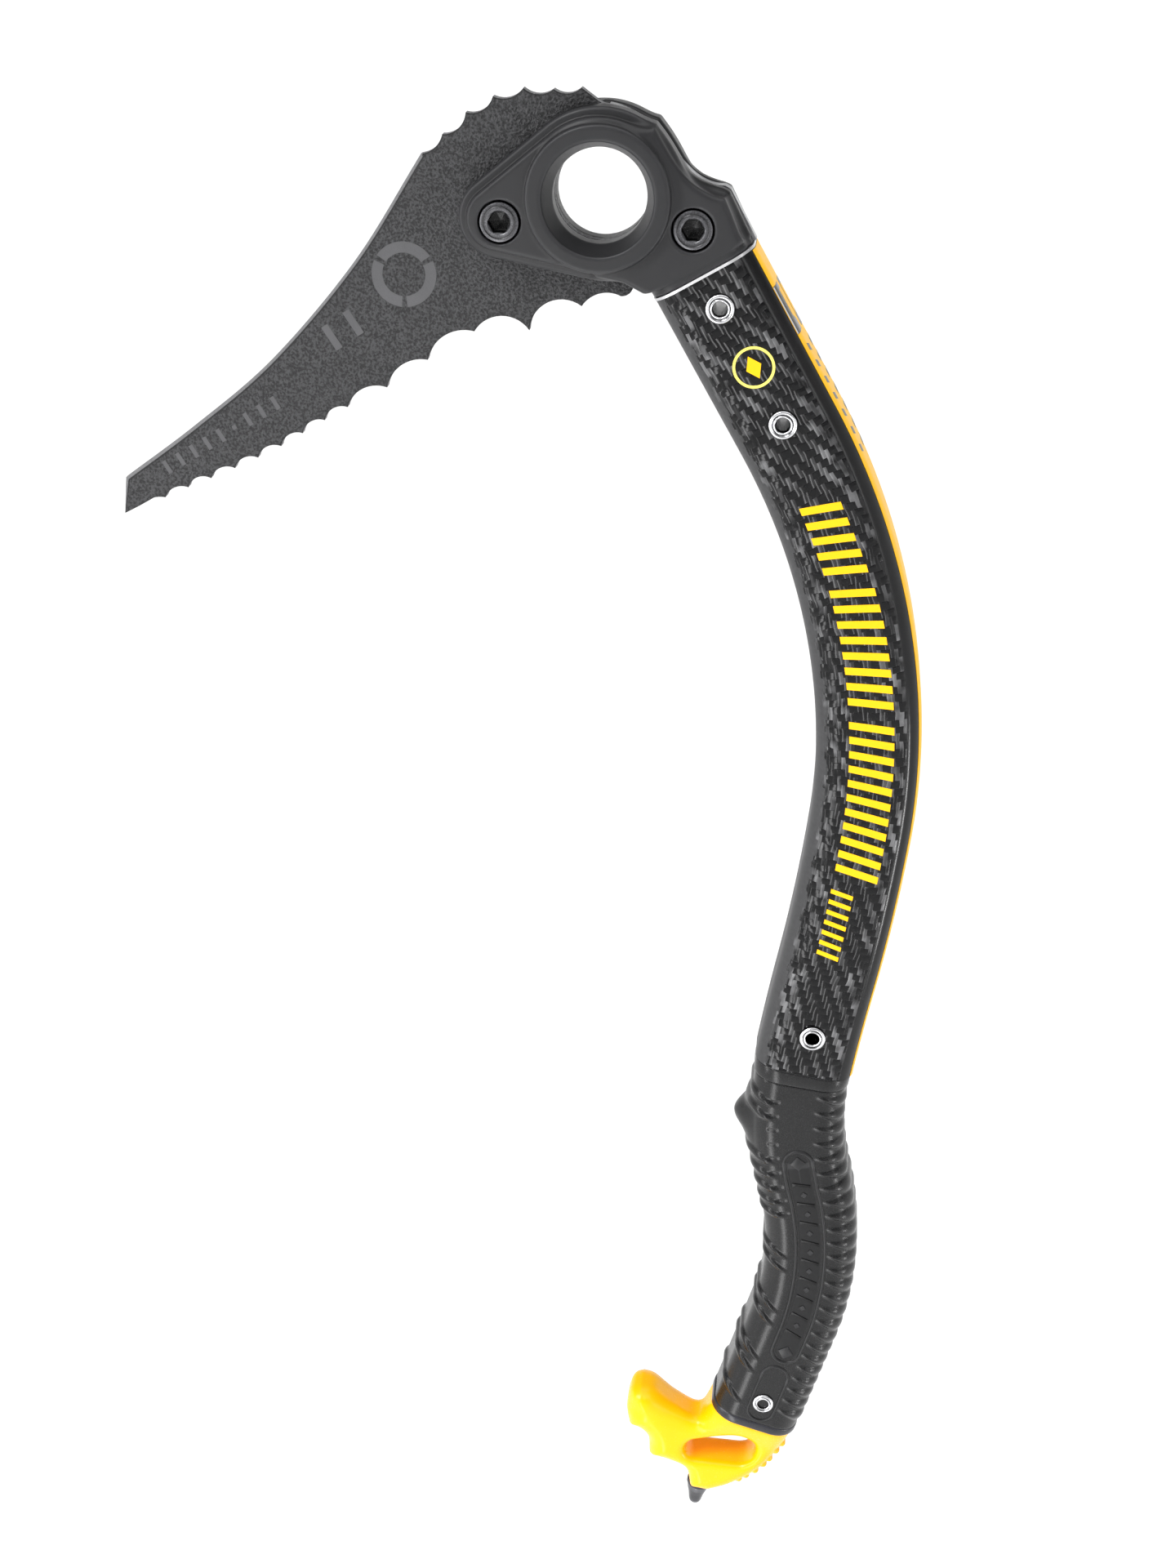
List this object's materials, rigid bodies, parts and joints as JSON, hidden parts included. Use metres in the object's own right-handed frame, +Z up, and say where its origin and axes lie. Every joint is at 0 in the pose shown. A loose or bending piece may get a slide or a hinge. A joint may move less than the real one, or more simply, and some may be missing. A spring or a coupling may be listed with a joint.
{
  "type": "ice axe",
  "caption": "Technical ice axe with a toothed plate pick, a head with a round eye, a curved tubular shaft, a ribbed grip, and a hooked pommel with an open loop and a spike.",
  "frame": {"origin": "centre of the round eye through the head, on the tool's plane of symmetry", "axes": "+Z up from spike to head, -X the way the pick points, +Y along the eye towards the tool's right side"},
  "size_m": [0.2459, 0.03, 0.4958],
  "materials": {
    "coated_steel": "matte",
    "head_alloy": "satin",
    "web_steel": "satin",
    "bolt_steel": "satin",
    "rivet_steel": "polished",
    "carbon": "gloss",
    "gasket_metal": "satin",
    "yellow_film": "gloss",
    "grip_rubber": "satin",
    "inset_rubber": "satin",
    "end_rubber": "satin",
    "yellow_plastic": "gloss",
    "spike_steel": "satin",
    "washer_black": "satin",
    "insert_brass": "satin",
    "bush_alloy": "satin"
  },
  "bodies": {
    "root": {"pick": "coated_steel", "head_cheek_left": "head_alloy", "head_cheek_right": "head_alloy", "head_web": "web_steel", "head_gasket": "gasket_metal", "pick_bolt_front": "bolt_steel", "pick_bolt_rear": "bolt_steel", "pick_nut_front": "bolt_steel", "pick_nut_rear": "bolt_steel", "shaft_tube": "carbon", "back_stripe": "yellow_film", "upper_rivet_1": "rivet_steel", "upper_rivet_2": "rivet_steel", "lower_rivet": "rivet_steel", "grip_rivet": "rivet_steel", "rivet_bush": "bush_alloy", "grip_sleeve": "grip_rubber", "grip_cuff": "grip_rubber", "grip_end_ring": "end_rubber", "grip_badge_left": "inset_rubber", "grip_badge_right": "inset_rubber", "rivet_plate_left": "inset_rubber", "rivet_plate_right": "inset_rubber", "pommel_body": "yellow_plastic", "spike": "spike_steel", "spike_washer": "washer_black", "spike_insert": "insert_brass"}
  },
  "joints": []
}
